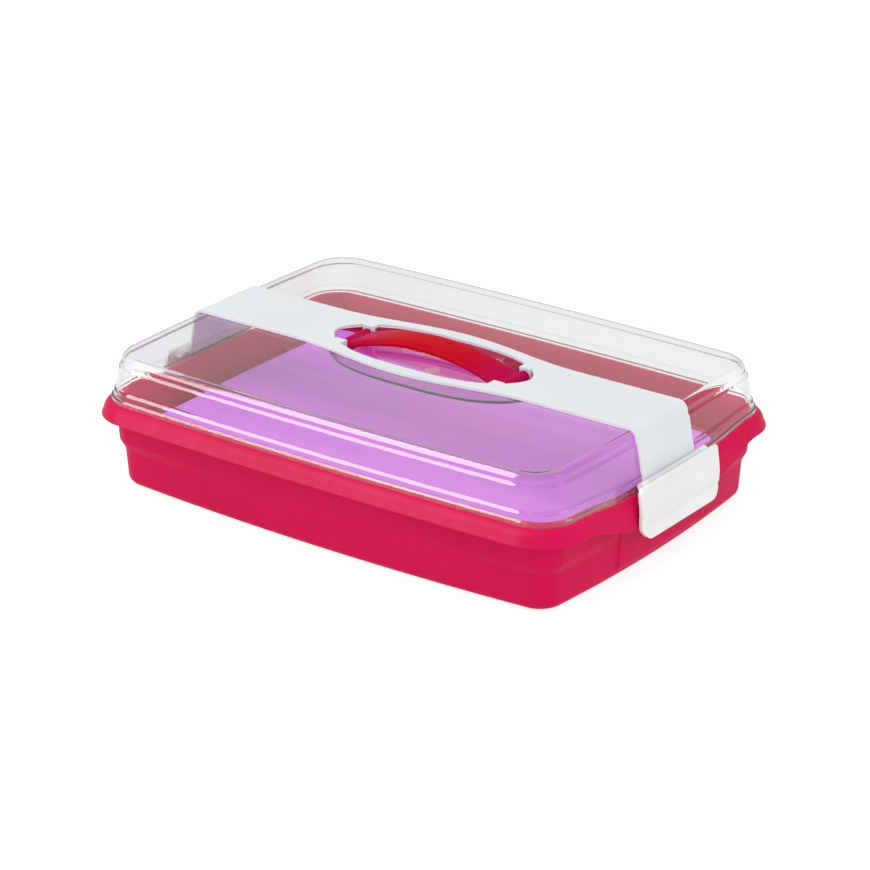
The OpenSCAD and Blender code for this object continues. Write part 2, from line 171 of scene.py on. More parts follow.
def red_acrylonitrile(look):
    """See-through red styrene acrylonitrile: glassy gloss, brighter where thin, deeper at the ends."""
    made, tree, output, place = new_material("red_acrylonitrile")
    along = add_node(tree, "ShaderNodeSeparateXYZ", {"Vector": place}).outputs["X"]
    reach = add_node(tree, "ShaderNodeMath", {0: along}, operation="ABSOLUTE").outputs["Value"]
    ends = spread(tree, reach, 0, 1, 30 * MM, 78 * MM)
    surface = add_node(tree, "ShaderNodeBsdfPrincipled", {
        "Base Color": shade(tree, ends, look.colour, look.end_colour),
        "Roughness": spread(tree, noise(tree, place, 14, 3), 0.16, 0.24),
        "IOR": 1.57,
        "Specular IOR Level": 0.01,
        "Normal": grain(tree, place, 18, 0.1, 0.15),
    })
    # light that falls through the handle comes out red
    passing = add_node(tree, "ShaderNodeBsdfTransparent", {"Color": linear("#F0507A")})
    shadow = add_node(tree, "ShaderNodeLightPath").outputs["Is Shadow Ray"]
    both = add_node(tree, "ShaderNodeMixShader",
                    {0: shadow, 1: surface.outputs["BSDF"], 2: passing.outputs["BSDF"]})
    tree.links.new(both.outputs["Shader"], output.inputs["Surface"])
    return made


def violet_polypropylene(look):
    """Violet moulded polypropylene sheet: satin, with fine brushed-looking flow along its length."""
    made, tree, output, place = new_material("violet_polypropylene")
    flow = noise(tree, place, 26, 4, (0.12, 1, 1))
    surfaced(tree, output, {
        "Base Color": shade(tree, spread(tree, flow, 0, 1), look.shade_colour, look.colour),
        "Roughness": spread(tree, noise(tree, place, 7, 3, (0.2, 1, 1)), 0.3, 0.45),
        "IOR": 1.49,
        "Specular IOR Level": 0.1,
        "Normal": grain(tree, place, 1.2, 0.03, 0.25),
    })
    return made


def drawn_steel(look):
    """Drawn stainless steel wire: bright, with fine lines round about its length."""
    made, tree, output, place = new_material("drawn_steel")
    lines = noise(tree, place, 0.6, 2, (1, 0.05, 1))
    surfaced(tree, output, {
        "Base Color": shade(tree, lines, "#A9ABAD", "#C9CBCC"),
        "Metallic": 1.0,
        "Roughness": spread(tree, lines, look.roughness - 0.06, look.roughness + 0.08),
    })
    return made


# ---- forms drawn from the carrier's outline ----

PAD_EDGE = 2 * MM                 # stretch over which the pad behind a clip rises
LID_FOOT_IN = 0.3 * MM            # set-back of the lid's foot from the rim's edge
SEAT_GAP = 0.3 * MM               # gap where two pieces rest on each other
RIB_PLACES = (0.25, 0.33)         # the ribs' distances from the middle line, as shares of the rim's width
RIB_THICK = 2.4 * MM
RIB_DRAFT = 2 * MM                # how much further in a rib's foot reaches than its top
PLATE_REST = 6 * MM               # how far the plate's end lies on the ribs
FLOOR_LAP = 12 * MM               # flat ring between the hollow's middle and its edge
FLOOR_FILLET = 2.2 * MM           # rounding between the hollow's floor and its wall
GATE_RADIUS = 6 * MM
GATE_HIGH = 0.6 * MM
GATE_SEAT = 0.05 * MM             # gap between the gate's mark and the floor under it


def smooth(share):
    """A soft step from 0 to 1."""
    share = min(max(share, 0.0), 1.0)
    return share * share * (3 - 2 * share)


def steps(start, end, count):
    """Even steps after start, up to end."""
    return [start + (end - start) * k / count for k in range(1, count + 1)]


def plan(size, half_x, half_y, radius):
    """Points round a rectangle with round corners, anticlockwise from the low end of its right side."""
    half_clip, reach = size.clip_width / 2, sway_reach(size)
    fit = min(1.0, (half_y - radius - MM) / reach)
    ys = [y * fit for y in steps(0, half_clip, 8) + steps(half_clip, half_clip + PAD_EDGE, 4)
          + steps(half_clip + PAD_EDGE, reach, 14)]
    ends = [-y for y in reversed(ys)] + [0.0] + ys
    sides = [(half_x - radius) * (1 - k / 16) for k in range(1, 32)]

    def corner(sx, sy, start):
        return [(sx * (half_x - radius) + radius * math.cos(a), sy * (half_y - radius) + radius * math.sin(a))
                for a in (start + math.radians(5 * k) for k in range(19))]

    return ([(half_x, y) for y in ends] + corner(1, 1, 0) + [(x, half_y) for x in sides]
            + corner(-1, 1, math.pi / 2) + [(-half_x, -y) for y in ends] + corner(-1, -1, math.pi)
            + [(-x, -half_y) for x in sides] + corner(1, -1, math.pi * 1.5))


def sway_reach(size):
    """How far from the middle of an end the rim has swayed back up."""
    return size.rim_width / 2 - size.rim_radius - 6 * MM


def outline(size, height, in_x, in_y, radius, extra_bow=0.0, dip=0.0, out=0.0, pad=0.0, bows=None):
    """A closed row of points at a height, set in from the rim's edge, with bowed sides and swaying ends."""
    half_x, half_y = size.rim_length / 2 - in_x, size.rim_width / 2 - in_y
    bow_x, bow_y = bows or (size.end_bow + extra_bow, size.side_bow + extra_bow)
    start = size.clip_width / 2 + PAD_EDGE
    row = []
    for x, y in plan(size, half_x, half_y, radius):
        sway = 1 - smooth((abs(y) - start) / (sway_reach(size) - start))
        on_pad = 1 - smooth((abs(y) - size.clip_width / 2) / PAD_EDGE)
        swell = bow_x * (1 - (y / half_y) ** 2) * x / half_x + math.copysign(out * sway + pad * on_pad, x)
        row.append(Vector((x + swell, y + bow_y * (1 - (x / half_x) ** 2) * y / half_y, height - dip * sway)))
    return row


def eye(size, height, grow):
    """A closed row of points round the eye-shaped hollow under the handle."""
    half_l, half_w = size.eye_length / 2 + grow, size.eye_width / 2 + grow
    xs = [math.cos(math.pi * k / 48) for k in range(49)]
    row = [Vector((half_l * x, half_w * (1 - abs(x) ** 3) ** 0.6, height)) for x in xs]
    return row[:-1] + [Vector((p.x, -p.y, height)) for p in reversed(row[1:])]


def new_verts(made):
    """The vertices among what an operator has made."""
    return [part for part in made if isinstance(part, bmesh.types.BMVert)]


def drawn(form, rows):
    """Draws a skin through rows of points, by extruding each row's edges to the next.
    A row may come with the radius that its edge is rounded to. Gives the first and last edges."""
    rounded = {}
    verts, edges, first = [], [], None
    for row in rows:
        row, radius = row if isinstance(row, tuple) else (row, 0.0)
        if first is None:
            verts = [form.verts.new(p) for p in row]
            first = edges = [form.edges.new((verts[k - 1], verts[k])) for k in range(len(verts))]
        else:
            made = bmesh.ops.extrude_edge_only(form, edges=edges)["geom"]
            fresh = set(new_verts(made))
            verts = [next(e.other_vert(v) for e in v.link_edges if e.other_vert(v) in fresh) for v in verts]
            for vert, point in zip(verts, row):
                vert.co = point
            edges = [g for g in made if isinstance(g, bmesh.types.BMEdge) and set(g.verts) <= fresh]
        if radius:
            rounded.setdefault(radius, []).extend(edges)
    return first, edges, rounded


def rounded_off(form, rounded, segments=3):
    """Rounds rows of edges, each to its own radius."""
    for radius, edges in rounded.items():
        bmesh.ops.bevel(form, geom=[e for e in edges if e.is_valid], offset=radius, offset_type="OFFSET",
                        segments=segments, profile=0.5, affect="EDGES", clamp_overlap=True, material=-1)


def tray_form(size, tray, plate):
    """The tray: body stepped in at its corners, flared skirt, ledge and upstand, and the plate's ribs."""
    top, wall, foot = size.rim_height, tray.wall, tray.foot_radius
    roof, skirt = top - wall, top - tray.skirt_height
    step_top, step_low = tray.step_height - 1.5 * MM, tray.step_height - 9 * MM
    low_r, high_r, pad = tray.low_radius, tray.low_radius + 4 * MM, 1.6 * MM
    upstand_in, dip, drop = LID_FOOT_IN + 4 * MM, size.end_dip, tray.apron_drop

    def wall_at(z):
        return tray.wall_in + (roof - z) * math.tan(tray.draft)

    def body(z, inset, radius, share=1.0, **more):
        back = wall_at(z) + share * tray.corner_step + inset
        return outline(size, z, back, back, radius, share * tray.corner_step, **more)

    def rim(z, out, dips, swell=0.0):
        return outline(size, z, -out, -out, size.rim_radius + out, dip=dips, out=swell * tray.apron_out)

    rows = [body(0, foot + 6 * MM, low_r - foot / 2 - 2 * MM), body(0, foot, low_r - foot / 2)]
    rows += [body(foot * (1 - math.cos(a)), foot * (1 - math.sin(a)), low_r - foot / 2 * (1 - math.sin(a)))
             for a in (math.radians(15 * k) for k in range(1, 6))]
    rows += [
        body(foot, 0, low_r), (body(foot + 2 * MM, 0, low_r, pad=pad), 0.6 * MM),
        (body(step_low, 0, low_r, pad=pad), 1.6 * MM), (body(step_top, 0, high_r, 0, pad=pad), 1.2 * MM),
        (body(roof, 0, high_r, 0, dip=dip), 0.8 * MM), (rim(roof, MM - wall, dip), 0.8 * MM),
        (rim(skirt + 3 * MM, tray.skirt_out * 0.8 - wall, drop, 1), 0.8 * MM),
        (rim(skirt, tray.skirt_out - wall, drop, 1), 0.5 * MM), (rim(skirt, tray.skirt_out, drop, 1), 0.7 * MM),
        (rim(skirt + 5 * MM, tray.skirt_out * 0.75, drop * 0.6, 1), 2.0 * MM),
        (rim(top - 3.6 * MM, tray.skirt_out * 0.56, dip + MM, 0.5), 1.2 * MM),
        (rim(top - MM, tray.skirt_out * 0.2, dip), 0.8 * MM), (rim(top, 0, dip), 0.4 * MM),
        (rim(top, -upstand_in, dip), 0.5 * MM),
        (rim(top + 3 * MM, -upstand_in - 0.2 * MM, dip), 0.7 * MM),
        (rim(top + 3 * MM, 0.4 * MM - upstand_in - wall, dip), 0.7 * MM),
        (body(roof, wall, high_r - wall, 0, dip=dip), 1.0 * MM),
        (body(step_top + 2.5 * MM, wall, high_r - wall, 0), 0.4 * MM),
        (body(step_top + 1.5 * MM, wall, high_r - wall - 2 * MM, 0.65), 0.4 * MM),
        (body(step_low + 2 * MM, wall, low_r - wall), 1.0 * MM),
        body(foot + wall, wall, low_r - wall)]
    rows += [body(wall + foot * (1 - math.cos(a)), wall + foot * (1 - math.sin(a)),
                  low_r - wall - foot / 2 * (1 - math.sin(a)))
             for a in (math.radians(15 * k) for k in range(5, -1, -1))]
    form = bmesh.new()
    first, last, rounded = drawn(form, rows)
    for edges in (first, last):
        bmesh.ops.contextual_create(form, geom=edges)
    bmesh.ops.recalc_face_normals(form, faces=form.faces)
    rounded_off(form, rounded)

    def inside(y, z, share):
        back = wall_at(z) + share * tray.corner_step + wall - MM
        bow = size.end_bow + share * tray.corner_step
        return size.rim_length / 2 - back + bow * (1 - (y / (size.rim_width / 2 - back)) ** 2)

    ribs = []
    for share in RIB_PLACES:
        y = size.rim_width * share
        tip, root = plate.length / 2 - PLATE_REST, MM
        profile = ((tip - RIB_DRAFT, root), (inside(y, foot + wall, 1) - foot, root),
                   (inside(y, foot + wall, 1), foot + wall), (inside(y, step_low, 1), step_low),
                   (inside(y, plate.height, 0), plate.height), (tip, plate.height))
        for sx, sy in ((1, 1), (1, -1), (-1, 1), (-1, -1)):
            flat = form.faces.new([form.verts.new((sx * x, sy * y - RIB_THICK / 2, z)) for x, z in profile])
            made = bmesh.ops.extrude_face_region(form, geom=[flat])["geom"]
            bmesh.ops.translate(form, verts=new_verts(made), vec=(0, RIB_THICK, 0))
            ribs += [flat] + [g for g in made if isinstance(g, bmesh.types.BMFace)]
            ribs += [f for e in flat.edges for f in e.link_faces]
    bmesh.ops.recalc_face_normals(form, faces=list(set(ribs)))
    return form


def lid_form(size, lid):
    """The clear lid as one closed shell: the hollow, the flat top, the wall and its foot, and back inside."""
    foot, top, wall = size.rim_height + SEAT_GAP, size.rim_height + SEAT_GAP + lid.height, lid.wall
    radius, depth, mouth = lid.edge_radius, lid.hollow_depth, 1.2 * MM
    start, low_step, high_step = LID_FOOT_IN + 1.2 * MM, 1.2 * MM, 1.2 * MM
    # the wall from the foot up: height, share of the draft, sum of the steps, share of the ends' dip
    levels = ((4 * MM, 0, 0, 1), (8.5 * MM, 0.2, 0, 0.65), (11 * MM, 0.22, low_step, 0.55),
              (lid.height - radius - 4 * MM, 0.9, low_step, 0),
              (lid.height - radius - 2 * MM, 0.95, low_step + high_step, 0),
              (lid.height - radius, 1, low_step + high_step, 0))
    crease = (0.5 * MM, 0.7 * MM, 0.7 * MM, 1.0 * MM, 0.9 * MM, 0)

    def shell(z, in_x, in_y, inset, dip=0.0):
        return outline(size, z, in_x + inset, in_y + inset, size.rim_radius - inset, dip=dip)

    def flank(k, inset):
        z, share, stepped, dips = levels[k]
        backs = [start + share * (full - start - low_step - high_step) + stepped
                 for full in (lid.end_in, lid.side_in)]
        return (shell(foot + z - (inset / 3 if k > 2 else 0), *backs, inset, size.end_dip * dips), crease[k])

    def shoulder(inset, angle):
        r = radius - inset
        return shell(top - inset - r * (1 - math.cos(angle)), lid.end_in, lid.side_in,
                     inset + r * (1 - math.sin(angle)))

    arc = [math.radians(7.5 * k) for k in range(12)]
    floor = top - depth
    middle, edge = lid.hollow_low - FLOOR_LAP, lid.hollow_low - FLOOR_FILLET - 0.4 * MM
    hollow = [eye(size, floor, middle), eye(size, floor, edge)]
    hollow += [eye(size, floor + FLOOR_FILLET * (1 - math.cos(a)),
                   lid.hollow_low - FLOOR_FILLET * (1 - math.sin(a)))
               for a in (math.radians(15 * k) for k in range(0, 6))]
    hollow += [eye(size, top - mouth * (1 - math.cos(a)), lid.hollow_high + mouth * (1 - math.sin(a)))
               for a in (math.radians(15 * k) for k in range(5, -1, -1))]
    hollow += [eye(size, top, lid.hollow_high + mouth + 0.8 * MM)]
    outside = [shell(top, lid.end_in, lid.side_in, radius + 0.8 * MM)] + [shoulder(0, a) for a in arc]
    outside += [flank(k, 0) for k in range(5, -1, -1)]
    outside += [(shell(foot + 3 * MM, LID_FOOT_IN, LID_FOOT_IN, 0, size.end_dip), 0.5 * MM),
                (shell(foot, LID_FOOT_IN, LID_FOOT_IN, 0, size.end_dip), 0.3 * MM),
                (shell(foot, LID_FOOT_IN, LID_FOOT_IN, wall + MM, size.end_dip), 0.3 * MM)]
    inside = [flank(k, wall) for k in range(6)] + [shoulder(wall, a) for a in reversed(arc)]
    inside += [shell(top - wall, lid.end_in, lid.side_in, radius + 0.8 * MM)]
    under = [eye(size, top - wall, lid.hollow_high + wall + mouth), eye(size, top - wall, lid.hollow_high + wall),
             eye(size, floor - wall, lid.hollow_low + wall), eye(size, floor - wall, edge),
             eye(size, floor - wall, middle)]
    under[1:3] = [(row, 1.0 * MM) for row in under[1:3]]
    form = bmesh.new()
    bottom, brink, _ = drawn(form, hollow)
    outer, inner, rounded = drawn(form, outside + inside)
    brim, deepest, more = drawn(form, under)
    for near, far in ((brink, outer), (inner, brim)):
        bmesh.ops.bridge_loops(form, edges=near + far)
    for edges in (bottom, deepest):
        bmesh.ops.contextual_create(form, geom=edges)
    for radius, edges in more.items():
        rounded.setdefault(radius, []).extend(edges)
    bmesh.ops.recalc_face_normals(form, faces=form.faces)
    rounded_off(form, rounded, 4)
    return form


def in_hollow(size, lid, point):
    """Whether a point of the lid lies in the hollow's floor."""
    reach_x, reach_y = size.eye_length / 2 + lid.hollow_low, size.eye_width / 2 + lid.hollow_low
    floor = size.rim_height + SEAT_GAP + lid.height - lid.hollow_depth
    return abs(point.x) < reach_x and abs(point.y) < reach_y and abs(point.z - floor + lid.wall / 2) < lid.wall


def gate_form(size, lid):
    """The mark that the mould's gate left in the middle of the hollow's floor."""
    form = bmesh.new()
    floor = size.rim_height + SEAT_GAP + lid.height - lid.hollow_depth
    disc = bmesh.ops.create_circle(form, cap_ends=True, segments=48, radius=GATE_RADIUS)["verts"]
    bmesh.ops.translate(form, verts=disc, vec=(0, 0, floor + GATE_SEAT))
    raised = bmesh.ops.extrude_face_region(form, geom=list(form.faces))["geom"]
    bmesh.ops.translate(form, verts=new_verts(raised), vec=(0, 0, GATE_HIGH))
    bmesh.ops.recalc_face_normals(form, faces=form.faces)
    round_edges(form, 0.25, 60)
    return form


def plate_form(size, plate):
    """The lift-out plate with its raised edge."""
    base, thick, high = plate.height + SEAT_GAP, plate.thickness, plate.thickness + plate.edge
    bow, corner = 2 * MM, 19.5 * MM

    def lay(z, inset):
        return outline(size, base + z, (size.rim_length - plate.length) / 2 + bow + inset,
                       (size.rim_width - plate.width) / 2 + bow + inset, corner - inset, bows=(bow, bow))

    form = bmesh.new()
    first, last, rounded = drawn(form, [
        lay(0, 8 * MM), (lay(0, 1.5 * MM), 0.6 * MM), lay(thick, 0), (lay(high, 0), 0.8 * MM),
        (lay(high, 2.4 * MM), 0.8 * MM), (lay(thick, 6.4 * MM), 2.0 * MM), lay(thick, 10 * MM)])
    for edges in (first, last):
        bmesh.ops.contextual_create(form, geom=edges)
    bmesh.ops.recalc_face_normals(form, faces=form.faces)
    rounded_off(form, rounded)
    return form


# ---- pieces ----

def merged_form(node):
    """A bmesh of a CAD node, its loose triangles merged and joined where they lie flat."""
    form = bmesh.new()
    form.from_mesh(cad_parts[node].data)
    bmesh.ops.remove_doubles(form, verts=form.verts, dist=0.002 * MM)
    bmesh.ops.dissolve_limit(form, angle_limit=math.radians(0.05), verts=form.verts, edges=form.edges)
    return form


def round_edges(form, radius_mm, sharper_than):
    """Rounds the edges that turn by more than an angle, in degrees."""
    edges = [e for e in form.edges if e.is_manifold and e.calc_face_angle() > math.radians(sharper_than)]
    bmesh.ops.bevel(form, geom=edges, offset=radius_mm * MM, offset_type="OFFSET", segments=2,
                    profile=0.5, affect="EDGES", clamp_overlap=True, material=-1)


def finished_piece(name, form, material, body, *nodes):
    """A visible piece from a bmesh: smooth-shaded, given its finish, riding on its body."""
    mesh = bpy.data.meshes.new(name)
    form.to_mesh(mesh)
    form.free()
    mesh.shade_smooth()
    mesh.set_sharp_from_angle(angle=SMOOTH_BELOW)
    mesh.materials.append(material)
    piece = bpy.data.objects.new(name, mesh)
    bpy.context.scene.collection.objects.link(piece)
    # large flat faces keep their own normals, so only the rounded edges beside them shade round
    piece.modifiers.new("flat_faces_stay_flat", "WEIGHTED_NORMAL").keep_sharp = True
    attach(piece, body)
    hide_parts(*nodes)
    return piece


def dressed_node(node, name, material, body, form=None):
    """The piece that stands for a CAD node, in its own shape unless a finer form of it is given."""
    piece = finished_piece(name, form or merged_form(node), material, body, node)
    return piece


# ---- sizes and colours that a user would change ----

def length(name, description, size_mm):
    """A length that a user may change, given in millimetres."""
    return FloatProperty(name=name, description=description, default=size_mm * MM, unit="LENGTH", precision=4)


class CarrierSize(bpy.types.PropertyGroup):
    rim_length: length("Rim length", "Length of the rim's top edge at its corners", 434)
    rim_width: length("Rim width", "Width of the rim's top edge at its corners", 302)
    rim_height: length("Rim height", "Height of the ledge that the lid stands on", 72.7)
    rim_radius: length("Rim radius", "Plan radius of the rim's corners", 28)
    end_bow: length("End bow", "How far the end sides bow outwards", 3.5)
    side_bow: length("Side bow", "How far the long sides bow outwards", 4.5)
    end_dip: length("End dip", "How far the rim dips at the middle of each end", 5)
    clip_width: length("Clip width", "Width of a clip and of the pad behind it", 108)
    eye_length: length("Eye length", "Length of the strap's opening under the handle", 186)
    eye_width: length("Eye width", "Width of the strap's opening", 73)


class TrayLook(bpy.types.PropertyGroup):
    colour: StringProperty(name="Colour", description="Crimson of the tray, sRGB", default="#D40D51")
    shade_colour: StringProperty(name="Flow colour", description="Crimson in the flow marks", default="#CB0A49")
    roughness: FloatProperty(name="Roughness", description="Satin of the moulded face", default=0.4,
                             subtype="FACTOR")
    wall: length("Wall", "Wall thickness", 2.2)
    wall_in: length("Wall set-back", "Set-back of the wall from the rim's edge, just under the rim", 4.6)
    draft: FloatProperty(name="Draft", description="Draft angle of the walls", default=math.radians(3),
                         unit="ROTATION")
    foot_radius: length("Foot radius", "Rounding between the walls and the underside", 7)
    corner_step: length("Corner step", "How far the corners step in below mid-height", 4)
    step_height: length("Step height", "Height of that step inside the tray", 40)
    low_radius: length("Low radius", "Plan radius of the corners below the step", 16)
    skirt_out: length("Skirt reach", "How far the skirt stands out from the rim's edge", 8)
    skirt_height: length("Skirt height", "From the skirt's lower edge to the ledge", 12.7)
    apron_drop: length("Apron drop", "How far the skirt hangs down behind a clip", 14.5)
    apron_out: length("Apron swell", "How far the skirt swells out behind a clip", 0.5)


class LidLook(bpy.types.PropertyGroup):
    colour: StringProperty(name="Tint", description="Faint green tint of the clear plastic, sRGB",
                           default="#FBFDFC")
    # painted light: the red light that the handle throws, painted as a rose tint on the hollow's floor
    painted_handle_light_colour: StringProperty(name="Hollow tint", default="#F08CB0",
                                  description="Rose tint that the red handle lends the hollow, sRGB")
    mark_colour: StringProperty(name="Gate mark", description="Frosted mark of the mould's gate, sRGB",
                                default="#F0CFE0")
    mark_shade_colour: StringProperty(name="Gate mark flow", description="Its flow marks, sRGB",
                                      default="#EAC4D8")
    ior: FloatProperty(name="IOR", description="Refraction of polystyrene", default=1.55, min=1.3, max=1.7)
    height: length("Height", "From the lid's foot to its flat top", 39)
    wall: length("Wall", "Wall thickness", 1.8)
    edge_radius: length("Edge radius", "Rounding of the top edge", 6)
    end_in: length("End set-back", "Set-back of the end walls under the top edge", 9)
    side_in: length("Side set-back", "Set-back of the long walls under the top edge", 4)
    hollow_depth: length("Hollow depth", "Depth of the hollow for the fingers", 12.5)
    hollow_low: length("Hollow floor", "Reach of the hollow's floor past the eye", 2.5)
    hollow_high: length("Hollow mouth", "Reach of the hollow's mouth past the eye", 4.5)


class StrapLook(bpy.types.PropertyGroup):
    colour: StringProperty(name="Colour", description="White of the strap, sRGB", default="#ECF0F1")
    shade_colour: StringProperty(name="Flow colour", description="White in the strap's flow marks",
                                 default="#E7EBEE")
    clip_colour: StringProperty(name="Clip colour", description="White of the clips, sRGB", default="#F7F9F7")
    clip_shade_colour: StringProperty(name="Clip flow colour", description="White in the clips' flow marks",
                                      default="#F1F4F2")
    let_through: FloatProperty(name="Let through", default=0.12, subtype="FACTOR",
                               description="Share of the light that the milky plastic lets through")
    roughness: FloatProperty(name="Roughness", description="Soft gloss of the moulded face", default=0.3,
                             subtype="FACTOR")


class HandleLook(bpy.types.PropertyGroup):
    colour: StringProperty(name="Colour", description="Red of the grip, sRGB", default="#BC081C")
    end_colour: StringProperty(name="End colour", description="Deeper red at the ends", default="#B00A4A")


class PlateLook(bpy.types.PropertyGroup):
    colour: StringProperty(name="Colour", description="Violet of the plate, sRGB", default="#DE86EA")
    shade_colour: StringProperty(name="Flow colour", description="Violet in the flow lines", default="#D078E2")
    length: length("Length", "Length of the plate", 386)
    width: length("Width", "Width of the plate", 244)
    height: length("Height", "Height of the ribs that the plate rests on", 45.5)
    thickness: length("Thickness", "Thickness of the plate", 2.2)
    edge: length("Edge", "Height of the raised edge above the plate", 2.5)


class PinLook(bpy.types.PropertyGroup):
    roughness: FloatProperty(name="Roughness", description="Polish of the drawn wire", default=0.3,
                             subtype="FACTOR")


class StageLook(bpy.types.PropertyGroup):
    floor: FloatProperty(name="Floor", description="Side of the square floor", default=9.0, unit="LENGTH")
    floor_glow: FloatProperty(name="Floor glow", default=0.76, min=0, max=1,
                              description="Share of the floor's white that no shadow takes away")
    sky: FloatProperty(name="Sky", description="Strength of the even light from all sides", default=0.98)
    mirrored: FloatProperty(name="Mirrored sky", description="Strength of the sky in glossy faces",
                            default=0.55)
    mirrored_floor: FloatProperty(name="Mirrored floor", description="Strength of the floor in glossy faces",
                                  default=0.62)
    lens: FloatProperty(name="Lens", description="Focal length of the camera, in mm on a 36 mm frame",
                        default=138.3)
    azimuth: FloatProperty(name="Azimuth", description="Turn of the camera from the front",
                           default=math.radians(36.2), unit="ROTATION")
    elevation: FloatProperty(name="Elevation", description="Angle of the camera above the floor",
                             default=math.radians(23.1), unit="ROTATION")
    distance: FloatProperty(name="Distance", description="From the camera to its target", default=2.6,
                            unit="LENGTH")
    target: FloatVectorProperty(name="Target", description="Point that the camera looks at",
                                default=(0.0229, -0.0277, 0.06), subtype="TRANSLATION")


LOOKS = {"carrier_size": CarrierSize, "tray_look": TrayLook, "lid_look": LidLook, "strap_look": StrapLook,
         "handle_look": HandleLook, "plate_look": PlateLook, "pin_look": PinLook, "stage_look": StageLook}


def look(context, name):
    """One group of settings of the scene."""
    return getattr(context.scene, name)


# ---- operators, one for each piece or group of like pieces ----

class CARRIER_OT_tray(bpy.types.Operator):
    """The crimson tray with its skirted rim"""
    bl_idname = "carrier.tray"
    bl_label = "Tray"

    def execute(self, context):
        setting = look(context, "tray_look")
        form = tray_form(look(context, "carrier_size"), setting, look(context, "plate_look"))
        dressed_node("tray", "tray_shell", crimson_polypropylene(setting), "tray_body", form)
        return {"FINISHED"}


class CARRIER_OT_lid(bpy.types.Operator):
    """The clear lid with the hollow under the handle"""
    bl_idname = "carrier.lid"
    bl_label = "Lid"

    def execute(self, context):
        size, setting = look(context, "carrier_size"), look(context, "lid_look")
        form = lid_form(size, setting)
        clear = clear_polystyrene(setting, "clear_polystyrene", setting.colour)
        piece = dressed_node("lid", "lid_shell", clear, "lid_body", form)
        # the hollow's floor faces take a copy of the clear plastic with the handle's red light painted on
        painted_light_clear = clear_polystyrene(setting, "clear_polystyrene_painted_handle_light", setting.colour, setting.painted_handle_light_colour)
        piece.data.materials.append(painted_light_clear)
        for face in piece.data.polygons:
            face.material_index = int(in_hollow(size, setting, face.center))
        frost = white_polypropylene(look(context, "strap_look"), "frosted_polystyrene", setting.mark_colour,
                                    setting.mark_shade_colour)
        mark = finished_piece("gate_mark", gate_form(size, setting), frost, "lid_body")
        mark.visible_shadow = mark.visible_diffuse = False
        # light passes the clear shell instead of being stopped by it, so what lies under it stays lit
        piece.visible_shadow = piece.visible_diffuse = False
        return {"FINISHED"}


class CARRIER_OT_strap(bpy.types.Operator):
    """The white strap over the lid"""
    bl_idname = "carrier.strap"
    bl_label = "Strap"

    def execute(self, context):
        setting = look(context, "strap_look")
        material = white_polypropylene(setting, "white_polypropylene", setting.colour, setting.shade_colour)
        dressed_node("strap", "strap_band", material, "lid_body")
        return {"FINISHED"}


class CARRIER_OT_clips(bpy.types.Operator):
    """The two white clips at the short ends"""
    bl_idname = "carrier.clips"
    bl_label = "Clips"

    def execute(self, context):
        setting = look(context, "strap_look")
        material = white_polypropylene(setting, "white_polypropylene_flap", setting.clip_colour,
                                       setting.clip_shade_colour)
        for side in ("right", "left"):
            dressed_node(f"clip_{side}", f"clip_{side}_flap", material, f"clip_{side}_body")
        return {"FINISHED"}


class CARRIER_OT_handle(bpy.types.Operator):
    """The arched red handle"""
    bl_idname = "carrier.handle"
    bl_label = "Handle"

    def execute(self, context):
        dressed_node("handle", "handle_grip", red_acrylonitrile(look(context, "handle_look")), "handle_body")
        return {"FINISHED"}


class CARRIER_OT_plate(bpy.types.Operator):
    """The violet lift-out plate inside the tray"""
    bl_idname = "carrier.plate"
    bl_label = "Plate"

    def execute(self, context):
        setting = look(context, "plate_look")
        form = plate_form(look(context, "carrier_size"), setting)
        dressed_node("plate", "plate_sheet", violet_polypropylene(setting), "plate_body", form)
        return {"FINISHED"}


class CARRIER_OT_pins(bpy.types.Operator):
    """The steel pins of the clips and the handle"""
    bl_idname = "carrier.pins"
    bl_label = "Pins"

    def execute(self, context):
        material = drawn_steel(look(context, "pin_look"))
        for kind in ("handle", "clip"):
            for side in ("right", "left"):
                body = "handle_body" if kind == "handle" else f"clip_{side}_body"
                dressed_node(f"{kind}_pin_{side}", f"{kind}_pin_{side}_wire", material, body)
        return {"FINISHED"}


class CARRIER_OT_stage(bpy.types.Operator):
    """The pale floor, the studio light and the camera"""
    bl_idname = "carrier.stage"
    bl_label = "Stage"

    def execute(self, context):
        setting = look(context, "stage_look")
        pale_floor(setting)
        pale_sky(context, setting)
        for lamp in LAMPS:
            soft_lamp(context, *lamp)
        photo_camera(context, setting)
        context.scene.view_settings.view_transform = "Standard"
        return {"FINISHED"}


# ---- the stage's parts ----

# name, place in metres, target in metres, width and depth in metres, radiance, and whether it lights
# matt faces too or only shows as a glint in glossy ones
LAMPS = (
    ("key_softbox", (-0.95, -0.75, 1.35), (0, 0, 0.1), (0.9, 0.5), 3.6, True),
    ("front_softbox", (0.9, -2.0, 1.2), (0, 0, 0.05), (1.4, 0.9), 1.0, True),
    ("side_softbox", (2.2, 0.4, 1.0), (0, 0, 0.05), (0.9, 0.9), 1.6, True),
    ("tall_softbox", (-1.26, -1.87, 1.3), (0, 0, 0.1), (1.3, 2.9), 9.0, False),
)


